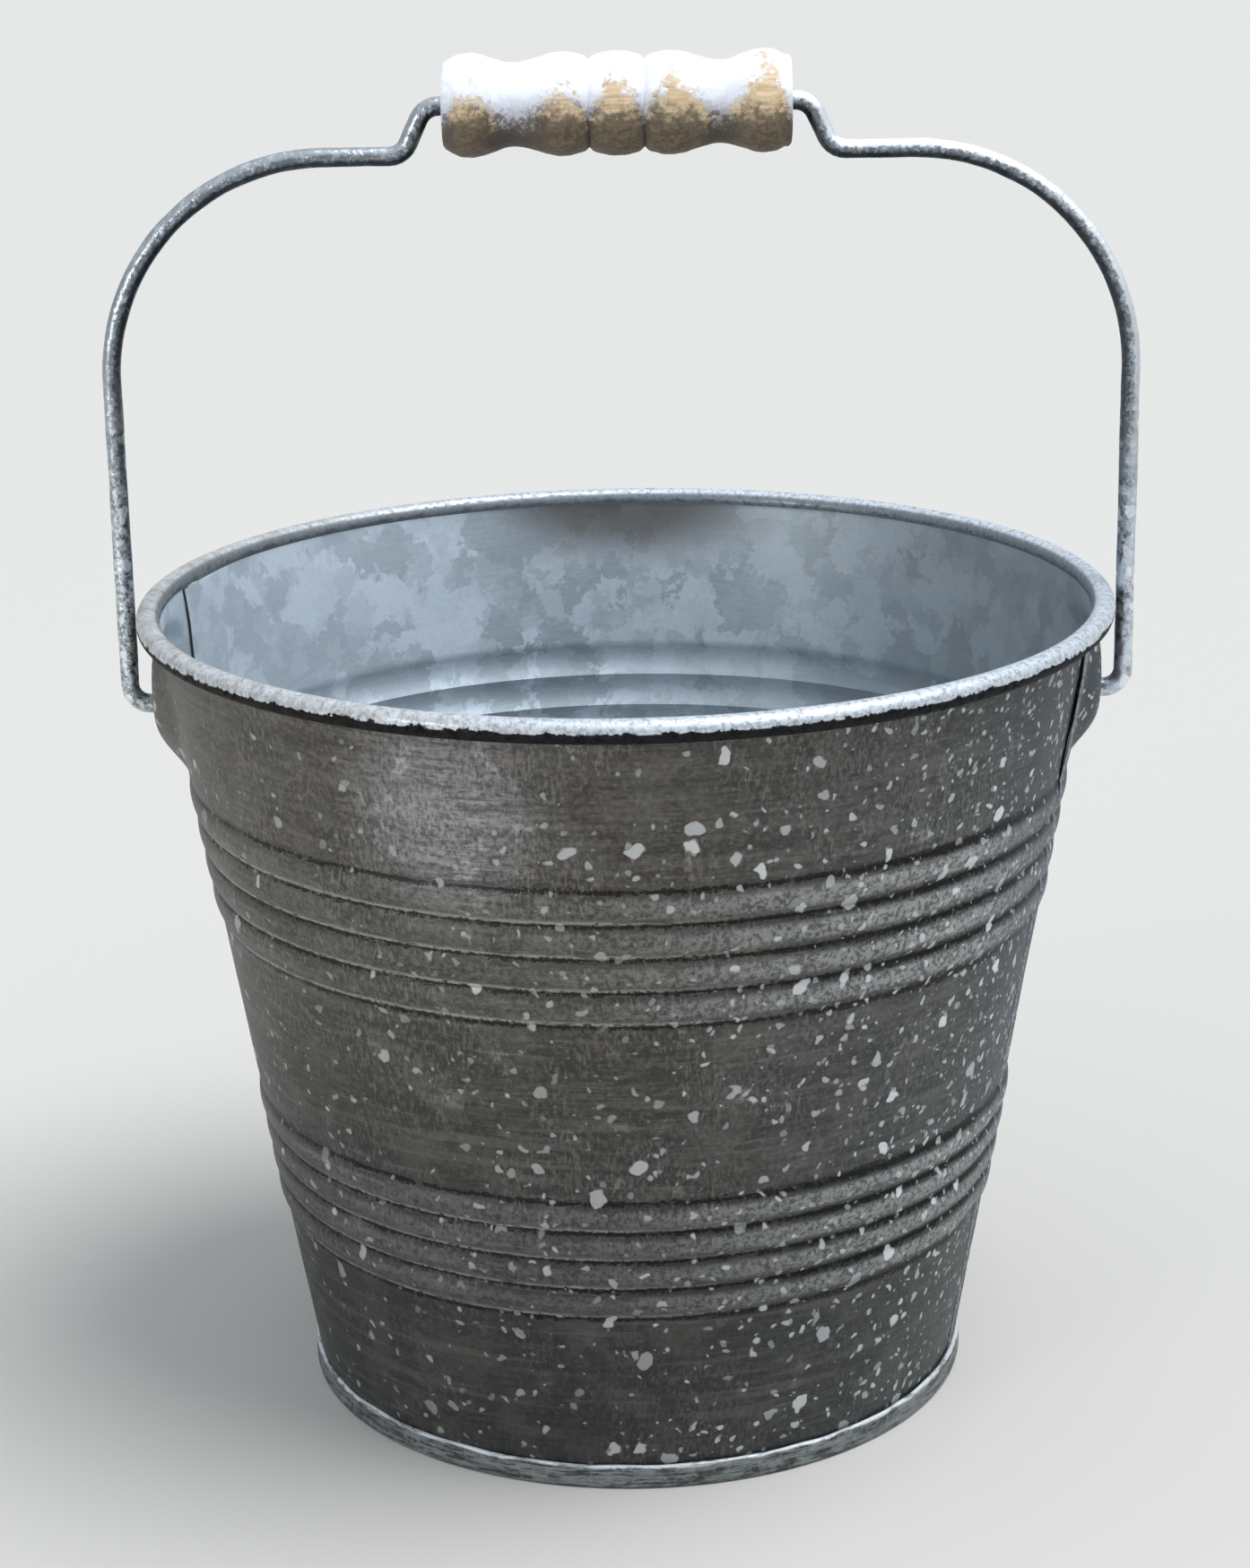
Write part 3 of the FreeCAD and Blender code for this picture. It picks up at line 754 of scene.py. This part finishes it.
# %% A material's beginning
class Finish:
    """A new material with the piece's place in millimetres and short ways to add its parts."""

    def __init__(self, name):
        self.material = bpy.data.materials.new(name)
        self.material.use_nodes = True
        self.tree = self.material.node_tree
        self.shader = self.tree.nodes["Principled BSDF"]
        place = self.tree.nodes.new("ShaderNodeTexCoord").outputs["Object"]
        self.place = vector_maths("SCALE", {0: place, 3: 1 / MM})
        split = add_node(self.tree, "ShaderNodeSeparateXYZ", {0: self.place})
        self.x, self.y, self.z = split.outputs

    def group(self, group, output, **inputs):
        """An output of a shared effect at this piece's place."""
        return add_node(self.tree, "ShaderNodeGroup", {"Place": self.place, **inputs},
                        node_tree=group).outputs[output]

    def stroke(self, output):
        return self.group(STROKES, output)

    def spots(self, cell, size, cover):
        return self.group(SPOTS, "Mask", Cell=cell, Size=size, Cover=cover)

    def clouds(self, size, middle, edge):
        return self.group(CLOUDS, "Mask", Size=size, Middle=middle, Edge=edge)

    def field(self, name):
        """A value that the mesh carries at each point."""
        return add_node(self.tree, "ShaderNodeAttribute", attribute_name=name).outputs["Fac"]

    def end(self, base, roughness, metallic, height, depth):
        """Connect the colour, gloss and relief; relief is a height in mm times depth."""
        relief = add_node(self.tree, "ShaderNodeBump", {"Height": height, "Distance": depth * MM,
                                                        "Strength": 0.8})
        for key, source in (("Base Color", base), ("Roughness", roughness), ("Metallic", metallic),
                            ("Normal", relief.outputs[0])):
            put(source, self.shader.inputs[key])
        return self.material


# %% [markdown]
# ## The darkened outside
#
# The colour is built in layers, as the finish is: dull zinc, the brown-grey wash brushed over
# it, marks of the brush, dark stains, rubbed ribs, old wash in the grooves, and splashes of zinc.
# Painted light goes over these: highlights on the upper left and the ribs' lower flanks, paler
# rib crests to the right, and painted shade in the grooves and towards the foot.

# %% Outside of the walls
PAINTED_HIGHLIGHT = (-28.0, -70.0, 118.0)         # middle of the painted highlight on the upper left, in mm
PALE_EAR_Z = 119.0                         # middle of the paler part of an ear


def outside_finish():
    """Wash, strokes, rubbed ribs, dark grooves, zinc spots, painted light and shade, in layers."""
    finish = Finish("darkened_zinc")
    tree = finish.tree
    sweep, along, up, grit = (finish.stroke(name) for name in ("Sweep", "Along", "Up", "Grit"))
    broad = finish.clouds(55.0, 0.5, 0.16)
    patches = finish.clouds(9.0, 0.56, 0.09)
    stains = finish.clouds(6.0, 0.37, 0.06)
    crest, groove, flank = (finish.field(name) for name in ("crest", "groove", "flank"))
    rightwards = eased(finish.x, -5.0, 60.0)

    # dull zinc under a brown-grey wash, darker to the foot as painted shade, and bluer to the right
    wash = blended(eased(finish.z, 22.0, 118.0), "#313233", "#5b564f")
    wash = blended(times(broad, 0.30), wash, "#67625a")
    wash = blended(times(rightwards, 0.75), wash, "#565d60")
    # a painted highlight on the upper left, where light from the left glances off the wall
    patch = eased(distance(finish.place, *PAINTED_HIGHLIGHT), 21.0, 3.0)
    wash = blended(times(patch, 0.88), wash, "#b0afb2")

    ticked = finish.clouds(16.0, 0.5, 0.07)
    ticks = times(swing(up, 3.0), ticked)
    streaks = times(swing(along, 3.6), eased(ticked, 0.0, 1.0, 1.0, 0.35))
    strokes = plus(plus(streaks, swing(sweep, 1.6)), plus(ticks, swing(grit, 3.6)))
    shade = larger(plus(0.90, strokes), 0.42)
    grey = add_node(tree, "ShaderNodeCombineColor", {0: shade, 1: shade, 2: shade}).outputs[0]
    tone = blended(1.0, wash, grey, "MULTIPLY")
    flecks = times(eased(up, 0.54, 0.60), eased(ticked, 0.0, 1.0, 0.06, 0.34))
    flecks = larger(flecks, eased(grit, 0.57, 0.63, 0.0, 0.22))
    tone = blended(flecks, tone, blended(eased(finish.z, 30.0, 110.0), "#777a79", "#a39e97"))
    lines = times(eased(sweep, 0.56, 0.60), eased(finish.z, 125.0, 60.0, 0.10, 0.24))
    tone = blended(lines, tone, "#84837e")
    tone = blended(eased(grit, 0.41, 0.36, 0.0, 0.30), tone, "#2c2b29")
    tone = blended(times(patches, 0.22), tone, "#8a8983")
    tone = blended(times(stains, 0.45), tone, "#2b2a28")

    # the ears' faces are made paler, far more on the right ear than on the left
    ear = distance(stretched(finish.place, 0.0, 1.0, 1.0), 0.0, 0.0, PALE_EAR_Z)
    ear = plus(ear, plus(swing(along, 24.0), swing(grit, 30.0)))
    ear = times(eased(ear, 13.5, 6.0), eased(finish.x, -76.0, 76.0, 0.1, 0.34))
    ear = times(ear, eased(maths("ABSOLUTE", finish.x), 70.0, 74.0))
    tone = blended(ear, tone, "#a3a2a2")

    # ribs: crests rubbed paler, and much paler to the right as painted light
    speckle = eased(grit, 0.43, 0.54, 0.22, 1.0)
    band = times(eased(crest, 0.55, 0.92), speckle)
    rubbed = larger(eased(finish.x, -20.0, 55.0, 0.06, 0.72),
                    eased(finish.z, 70.0, 60.0, 0.0, 0.14))
    tone = blended(times(band, rubbed), tone, "#aaaeae")
    # a painted highlight: a thin bright line on each rib's lower flank, strongest on the left
    line = times(flank, eased(along, 0.36, 0.52, 0.1, 0.9))
    line = times(line, eased(finish.x, 25.0, -15.0, 0.30, 1.0))
    tone = blended(line, tone, "#a9a8a4")
    # old wash and painted shade in the grooves, thin on the left, wide and ragged on the right
    ragged = plus(plus(groove, swing(grit, 2.4)), swing(along, 1.8))
    dark = add_node(tree, "ShaderNodeMix", {0: rightwards, 2: eased(ragged, 0.70, 0.86, 0.0, 0.82),
                                            3: eased(ragged, 0.38, 0.50, 0.0, 0.90)}).outputs[0]
    dark = times(dark, eased(groove, 0.02, 0.2))
    tone = blended(dark, tone, "#181716")
    # blue-grey round to the right, and painted shade darkening it down to the foot
    tone = blended(eased(finish.x, 50.0, 72.0, 0.0, 0.72), tone, "#3c454d")
    tone = blended(eased(finish.z, 62.0, 24.0, 0.0, 0.26), tone, "#17181a")

    # splashes of zinc, thickest and brightest on the right, and few under the middle of the rim
    cover = times(eased(finish.x, -60.0, 55.0, 0.45, 1.0), larger(
        eased(finish.z, 126.0, 112.0, 0.35, 1.0), eased(finish.x, 20.0, 50.0)))
    large = finish.spots(4.8, 0.22, times(cover, 0.75))
    small = finish.spots(2.3, 0.25, cover)
    drips = finish.spots(1.5, 0.27, eased(finish.x, 15.0, 62.0, 0.04, 0.6))
    spots = larger(large, times(larger(small, drips), 0.8))
    light = eased(finish.x, -40.0, 55.0)
    tone = blended(times(spots, 0.9), tone, blended(light, "#aeafaa", "#dde2e5"))

    rough = plus(0.40, times(grit, 0.2))
    shine = plus(0.35, times(dark, 0.6))
    height = plus(times(strokes, 0.2), spots)
    put(eased(finish.x, 45.0, 74.0, 0.5, 0.12), finish.shader.inputs["Specular IOR Level"])
    return finish.end(tone, rough, shine, height, depth=0.10)


# %% Inside of the walls
BACK_PATCH = (0.0, 77.0, 136.0)                   # middle of the dark brown patch at the back, in mm


def crystals(finish, cell, bend, seed_step):
    """Grey levels of crystals about a cell wide, their outlines bent by noise to feather them."""
    place = vector_maths("ADD", {0: finish.place, 1: (seed_step, 0.0, 0.0)})
    bent = shaken(place, 2.2 / cell, 5.0, 0.65, bend)
    cells = add_node(finish.tree, "ShaderNodeTexVoronoi",
                     {"Vector": bent, "Scale": 1.0 / cell, "Smoothness": 0.12},
                     feature="SMOOTH_F1").outputs["Color"]
    return add_node(finish.tree, "ShaderNodeSeparateColor", {"Color": cells}).outputs["Red"]


def inside_finish():
    """Spangle: crystals in two sizes, each a slightly different blue-grey, and a dull brown patch.
    """
    finish = Finish("spangled_zinc")
    large = crystals(finish, 9.0, 12.0, 0.0)
    small = crystals(finish, 4.0, 6.0, 40.0)
    along, grit = finish.stroke("Along"), finish.stroke("Grit")
    grain = plus(times(large, 0.6), times(small, 0.4))
    tone = blended(eased(grain, 0.25, 0.75), "#98a4ae", "#c0ccd6")
    tone = blended(eased(along, 0.4, 0.75, 0.0, 0.16), tone, "#dfe6ea")
    tone = blended(eased(grit, 0.55, 0.3, 0.0, 0.14), tone, "#59636a")
    # painted shade darkens the inner wall towards the right, and painted light brightens it to the
    # left
    tone = blended(eased(finish.x, -30.0, 78.0, 0.0, 0.68), tone, "#687070")
    tone = blended(eased(finish.x, -10.0, -72.0, 0.0, 0.34), tone, "#dde8f2")
    # a dark brown patch under the rim at the back
    brown_patch = distance(stretched(finish.place, 0.42, 1.0, 1.0), *BACK_PATCH)
    brown_patch = plus(brown_patch, times(grain, -6.0))
    tone = blended(eased(brown_patch, 14.0, 3.0, 0.0, 0.85), tone, "#4c4840")
    rough = plus(0.40, times(grain, 0.14))
    return finish.end(tone, rough, 0.35, grain, depth=0.02)


# %% Rim, foot band and bottom
def rim_finish():
    """The roll is rubbed to pale zinc on top, pitted, and darkened below by painted shade."""
    finish = Finish("rubbed_rim")
    fine = finish.clouds(1.1, 0.56, 0.08)
    mid = finish.clouds(3.2, 0.55, 0.10)
    grit = finish.stroke("Grit")
    ragged = plus(times(mid, 0.45), times(fine, 0.25))
    under = eased(minus(finish.z, ragged), BEAD_Z + 0.02, BEAD_Z - 0.24)
    reach = distance(stretched(finish.place, 1.0, 1.0, 0.0), 0.0, 0.0, 0.0)
    under = times(under, eased(reach, 77.4, 78.4, 0.35, 1.0))
    leftwards = eased(finish.x, 20.0, -80.0)
    tone = blended(eased(grit, 0.36, 0.56), "#969ea7", "#c8d0d8")
    tone = blended(times(leftwards, 0.40), tone, "#b9b5ac")
    brown = times(times(mid, leftwards), 0.5)
    tone = blended(brown, tone, "#857c70")
    pits = times(fine, plus(0.26, times(leftwards, 0.16)))
    tone = blended(pits, tone, "#68655f")
    # painted shade on the inner side of the roll, below its pale top
    tone = blended(eased(reach, 77.0, 76.5, 0.0, 0.8), tone, "#5d666d")
    # painted shade on the underside of the roll, with a ragged edge
    tone = blended(times(under, 0.97), tone, "#141313")
    rough = plus(plus(0.36, times(fine, 0.25)), times(under, 0.35))
    shine = eased(under, 0.0, 1.0, 0.4, 0.9)
    return finish.end(tone, rough, shine, minus(0.0, fine), depth=0.03)


def band_finish():
    """The foot band: dull grey below, rubbed white in streaks along its upper edge."""
    finish = Finish("rubbed_band")
    along = finish.stroke("Along")
    mid = finish.clouds(6.0, 0.5, 0.15)
    fine = finish.clouds(1.8, 0.55, 0.08)
    edge = eased(plus(finish.z, times(mid, 0.5)), 3.7, 4.2)
    edge = times(edge, eased(along, 0.36, 0.50, 0.25, 1.0))
    tone = blended(eased(along, 0.42, 0.58), "#3a3c3d", "#7d8384")
    tone = blended(times(fine, 0.3), tone, "#9ca1a2")
    tone = blended(times(edge, 0.85), tone, "#d0d6d9")
    tone = blended(eased(finish.z, 4.9, 5.0, 0.0, 0.9), tone, "#8f9a9d")
    rough = plus(0.42, times(mid, 0.15))
    return finish.end(tone, rough, 0.45, plus(along, fine), depth=0.06)


# %% Wire
def wire_finish(name):
    """Galvanised wire: dark steel where the zinc is thin, and frosty white where it set thick."""
    finish = Finish(name)
    thick = finish.clouds(4.2, 0.50, 0.07)
    fine = finish.clouds(1.3, 0.56, 0.06)
    specks = finish.clouds(0.8, 0.5, 0.06)
    drops = finish.spots(2.6, 0.5, 0.55)
    low = eased(finish.z, 180.0, 125.0)
    right = eased(finish.x, -20.0, 40.0)
    left = eased(right, 1.0, 0.0)
    outer = finish.field("outer")
    tone = blended(fine, "#7d858b", "#abb3b9")
    # frosty streaks on the right leg, flecks and drops on the left one
    streaks = times(larger(thick, times(specks, 0.8)), right)
    tone = blended(times(streaks, times(low, 0.85)), tone, "#dde7f2")
    frost = times(specks, times(low, left))
    tone = blended(times(frost, 0.75), tone, "#dfe6ea")
    # painted highlight along the top of the shoulders, and painted shade below them
    ragged = plus(outer, swing(specks, 0.25))
    rubbed = times(eased(ragged, 0.05, 0.45), eased(finish.x, -40.0, 30.0, 0.25, 0.92))
    rubbed = times(rubbed, eased(finish.z, 150.0, 190.0, 0.2, 1.0))
    tone = blended(rubbed, tone, "#eef3f7")
    shaded = eased(ragged, 0.0, -0.45, 0.0, 0.85)
    tone = blended(times(shaded, eased(low, 0.0, 1.0, 1.0, 0.45)), tone, "#33373a")
    tone = blended(times(drops, times(low, 0.95)), tone, "#f4f8fa")
    cover = larger(rubbed, larger(frost, streaks))
    rough = plus(0.24, times(cover, 0.25))
    return finish.end(tone, rough, 0.85, plus(thick, drops), depth=0.08)


# %% Cut edges of the sheet
def edge_finish():
    """The bare cut edge: pale zinc with fine marks, and painted shadow on the edges tucked inside.
    """
    finish = Finish("cut_edge")
    grit = finish.stroke("Grit")
    tone = blended(eased(grit, 0.35, 0.65), "#8b9499", "#c9d1d6")
    # painted shadow: the edges tucked inside are dark, as the narrow gap beside them lies in shade
    slope = maths("ABSOLUTE", maths("DIVIDE", finish.y, finish.x))
    tucked = eased(slope, 0.25, 0.22, 0.0, 0.95)
    tone = blended(tucked, tone, "#17191b")
    return finish.end(tone, 0.5, 0.2, grit, depth=0.03)


# %% Painted wood
def wood_finish():
    """White paint over a pale wood, worn through on the beads, with painted shade on the underside.
    """
    finish = Finish("worn_paint")
    crest = finish.field("crest")
    chips = finish.clouds(1.8, 0.5, 0.12)
    broad = finish.clouds(9.0, 0.5, 0.2)
    grain = noise(stretched(finish.place, 0.12, 1.8, 1.8), 1.0, 4.0, 0.6, 0.3)
    specks = finish.clouds(0.8, 0.5, 0.08)
    below = eased(finish.z, 220.5, 211.5)
    wear = plus(times(crest, 0.55), times(below, 0.50))
    for patch, amount in ((chips, 0.14), (specks, 0.16), (broad, 0.16)):
        wear = plus(wear, swing(patch, amount))
    wear = plus(wear, eased(finish.x, -26.0, 26.0, -0.10, 0.12))
    bare = eased(wear, 0.64, 0.86)
    wood = blended(eased(grain, 0.2, 0.8), "#ad9470", "#e2ccaa")
    paint = blended(times(chips, 0.35), "#e6e9f1", "#bfc3d2")
    # painted shade on the underside: the paint greyer, then dark below a ragged line
    paint = blended(eased(finish.z, 217.0, 211.0, 0.0, 0.55), paint, "#9d99a8")
    uneven = plus(times(specks, 1.6), times(chips, 1.6))
    uneven = plus(uneven, eased(crest, 0.0, 0.8, 1.5, 0.0))
    shade_line = plus(finish.z, minus(uneven, 1.6))
    paint = blended(eased(shade_line, 215.5, 210.0, 0.0, 0.88), paint, "#665f59")
    tone = blended(bare, paint, wood)
    # painted shade darkening the whole underside further, bare wood too
    painted_shade = times(eased(shade_line, 215.0, 211.0), eased(specks, 0.0, 1.0, 0.80, 0.92))
    tone = blended(painted_shade, tone, "#4b4032")
    knocks = finish.spots(8.0, 0.12, 0.28)
    tone = blended(times(knocks, 0.8), tone, "#4e5256")
    height = plus(minus(1.0, bare), times(grain, 0.5))
    return finish.end(tone, 0.58, 0.0, height, depth=0.08)


# %% Put the finishes on
wall_finishes = (outside_finish(), inside_finish(), rim_finish(), edge_finish())
for node, wall in walls.items():
    for material in wall_finishes:
        wall.data.materials.append(material)
    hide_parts(node)
    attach(wall, "bucket")

pan.data.materials.append(band_finish())
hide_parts("bottom_pan")
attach(pan, "bucket")

bail.data.materials.append(wire_finish("zinc_wire"))
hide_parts("bail")
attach(bail, "bail")

grip.data.materials.append(wood_finish())
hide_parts("grip")
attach(grip, "grip")

rim_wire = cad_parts["rim_wire"]
rim_wire.data.materials.clear()
rim_wire.data.materials.append(wire_finish("rim_wire_steel"))

# %% [markdown]
# ## Floor, light and camera
#
# A pale floor and broad soft lamps show the metal plainly. The strongest lamp is above and
# behind, so the rim, the shoulders of the bail and the top of the grip are the brightest;
# the bail's shoulders also carry a painted highlight.

# %% Floor
FLOOR_REACH = 60.0                           # in metres, so that its edge is far behind
corners = [(-FLOOR_REACH, -FLOOR_REACH, 0), (FLOOR_REACH, -FLOOR_REACH, 0),
           (FLOOR_REACH, FLOOR_REACH, 0), (-FLOOR_REACH, FLOOR_REACH, 0)]
floor_mesh = bpy.data.meshes.new("floor")
floor_mesh.from_pydata(corners, [], [(0, 1, 2, 3)])
floor = bpy.data.objects.new("floor", floor_mesh)
bpy.context.scene.collection.objects.link(floor)
floor_finish = bpy.data.materials.new("pale_floor")
floor_finish.use_nodes = True
floor_shader = floor_finish.node_tree.nodes["Principled BSDF"]
put(colour("#b9b7b3"), floor_shader.inputs["Base Color"])
put(0.9, floor_shader.inputs["Roughness"])
floor_mesh.materials.append(floor_finish)


# %% Light
def add_light(name, kind, place, aim, power, tint, **settings):
    """A lamp at a place, turned to aim at a point; both in metres."""
    lamp = bpy.data.lights.new(name, kind)
    lamp.energy = power
    lamp.color = tint
    for setting, choice in settings.items():
        setattr(lamp, setting, choice)
    holder = bpy.data.objects.new(name, lamp)
    holder.location = place
    holder.rotation_euler = (Vector(aim) - Vector(place)).to_track_quat("-Z", "Y").to_euler()
    bpy.context.scene.collection.objects.link(holder)


SKY_LOW, SKY_HIGH, SKY_SEEN = 0.42, 1.05, 0.86   # strength level with the floor, overhead, behind
add_light("sky_lamp", "SUN", (0.42, -0.12, 1.12), (0.0, 0.0, 0.12), 3.0, (0.97, 0.985, 1.0),
          angle=math.radians(38.0))
add_light("left_lamp", "AREA", (-0.80, -0.80, 0.30), (0.0, 0.0, 0.10), 3.0, (1.0, 0.98, 0.96),
          size=0.35)

world = bpy.data.worlds.new("soft_room")
world.use_nodes = True
sky = world.node_tree
facing = add_node(sky, "ShaderNodeTexCoord").outputs["Generated"]
upwards = add_node(sky, "ShaderNodeSeparateXYZ", {0: facing}).outputs["Z"]
overhead = eased(upwards, 0.0, 0.9, SKY_LOW, SKY_HIGH)
seen = add_node(sky, "ShaderNodeLightPath").outputs["Is Camera Ray"]
strength = add_node(sky, "ShaderNodeMix", {0: seen, 2: overhead, 3: SKY_SEEN}).outputs[0]
put(strength, sky.nodes["Background"].inputs["Strength"])
put((0.84, 0.90, 0.97, 1.0), sky.nodes["Background"].inputs["Color"])
bpy.context.scene.world = world
bpy.context.scene.view_settings.view_transform = "Standard"

# %% Camera
CAMERA_PLACE = (0.0, -0.5471, 0.2687)
TILT_DOWN, YAW, ROLL = math.radians(17.03), math.radians(-0.06), math.radians(-1.006)
FRAME_HIGH = 1748
FOCAL = 3810.7                                # in the frame's own units

forward = Vector((math.sin(YAW) * math.cos(TILT_DOWN), math.cos(YAW) * math.cos(TILT_DOWN),
                  -math.sin(TILT_DOWN)))
level = forward.cross(Vector((0, 0, 1))).normalized()
upright = level.cross(forward)
across = math.cos(ROLL) * level + math.sin(ROLL) * upright
top = -math.sin(ROLL) * level + math.cos(ROLL) * upright
lens = bpy.data.cameras.new("camera")
lens.sensor_width = 36.0
lens.lens = 36.0 * FOCAL / FRAME_HIGH
camera = bpy.data.objects.new("camera", lens)
turn = Matrix((across, top, -forward)).transposed().to_4x4()
camera.matrix_world = Matrix.Translation(CAMERA_PLACE) @ turn
bpy.context.scene.collection.objects.link(camera)
bpy.context.scene.camera = camera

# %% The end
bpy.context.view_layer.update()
